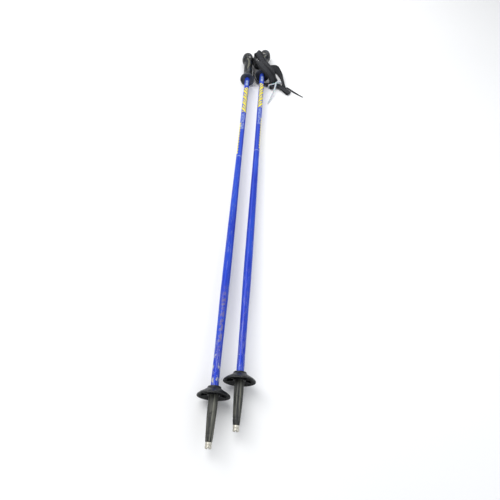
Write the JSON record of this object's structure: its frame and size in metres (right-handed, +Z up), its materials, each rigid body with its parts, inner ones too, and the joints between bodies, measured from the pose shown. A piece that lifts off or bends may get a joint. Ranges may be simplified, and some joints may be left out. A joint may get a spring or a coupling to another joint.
{
  "type": "ski pole pair",
  "caption": "Pair of alpine ski poles lying side by side, with round baskets, steel tips, moulded grips and wrist straps bound by a cable tie.",
  "frame": {"origin": "under the middle of the bounding box, on the surface that the poles lie on", "axes": "+Y along the poles from the tips to the grips, +Z up from the surface they lie on, +X from the left pole to the right pole"},
  "size_m": [0.2082, 1.1804, 0.061],
  "materials": {
    "shaft_lacquer": "glossy blue metallic lacquer with yellow and pale printed marks, scratched",
    "ferrule_plastic": "worn dark grey moulded plastic",
    "tip_steel": "pale worn steel",
    "basket_plastic": "black moulded plastic with a worn grey rim",
    "grip_rubber": "charcoal rubber, slightly shiny on the head",
    "cap_plastic": "worn dark grey plastic",
    "inlay_grey": "beige grey soft rubber",
    "screw_zinc": "dull zinc plated steel",
    "bush_plastic": "plain moulded plastic",
    "webbing": "woven dark grey webbing with darker selvedges",
    "slider_plastic": "black moulded plastic",
    "tie_nylon": "pale translucent nylon"
  },
  "bodies": {
    "left_pole": {"left_shaft": "shaft_lacquer", "left_ferrule": "ferrule_plastic", "left_tip": "tip_steel", "left_grip": "grip_rubber", "left_grip_cap": "cap_plastic", "left_grip_inlay_screw_side": "inlay_grey", "left_grip_inlay_nut_side": "inlay_grey", "left_strap_screw": "screw_zinc", "left_strap_nut": "screw_zinc", "left_strap_bush": "bush_plastic", "left_shaft_plug": "bush_plastic"},
    "tied_straps": {"left_strap": "webbing", "right_strap": "webbing", "left_strap_tail": "webbing", "cable_tie": "tie_nylon"},
    "right_pole": {"right_shaft": "shaft_lacquer", "right_ferrule": "ferrule_plastic", "right_tip": "tip_steel", "right_grip": "grip_rubber", "right_grip_cap": "cap_plastic", "right_grip_inlay_screw_side": "inlay_grey", "right_grip_inlay_nut_side": "inlay_grey", "right_strap_screw": "screw_zinc", "right_strap_nut": "screw_zinc", "right_strap_bush": "bush_plastic", "right_shaft_plug": "bush_plastic"},
    "left_basket_ring": {"left_basket": "basket_plastic"},
    "right_basket_ring": {"right_basket": "basket_plastic"},
    "left_slider": {"left_strap_slider": "slider_plastic"},
    "right_slider": {"right_strap_slider": "slider_plastic"}
  },
  "joints": [
    {"name": "left_strap_swing", "type": "hinge", "parent": "left_pole", "child": "tied_straps", "pos_m": [-0.07357, 0.52982, 0.02023], "axis": [0, 0, 1], "range_deg": [0, 3]},
    {"name": "right_pole_swing", "type": "hinge", "parent": "tied_straps", "child": "right_pole", "pos_m": [-0.02927, 0.56012, 0.02023], "axis": [0, 0, 1], "range_deg": [0, 3]},
    {"name": "left_basket_spin", "type": "hinge", "parent": "left_pole", "child": "left_basket_ring", "pos_m": [-0.07357, -0.49613, 0.03042], "axis": [0, 1, -0.0099], "continuous": true},
    {"name": "right_basket_spin", "type": "hinge", "parent": "right_pole", "child": "right_basket_ring", "pos_m": [-0.02927, -0.46583, 0.03042], "axis": [0, 1, -0.0099], "continuous": true},
    {"name": "left_slider_slide", "type": "slide", "parent": "tied_straps", "child": "left_slider", "axis": [1, 0, 0], "range_m": [0, 0.003]},
    {"name": "right_slider_slide", "type": "slide", "parent": "tied_straps", "child": "right_slider", "axis": [-1, 0, 0], "range_m": [0, 0.002]}
  ]
}
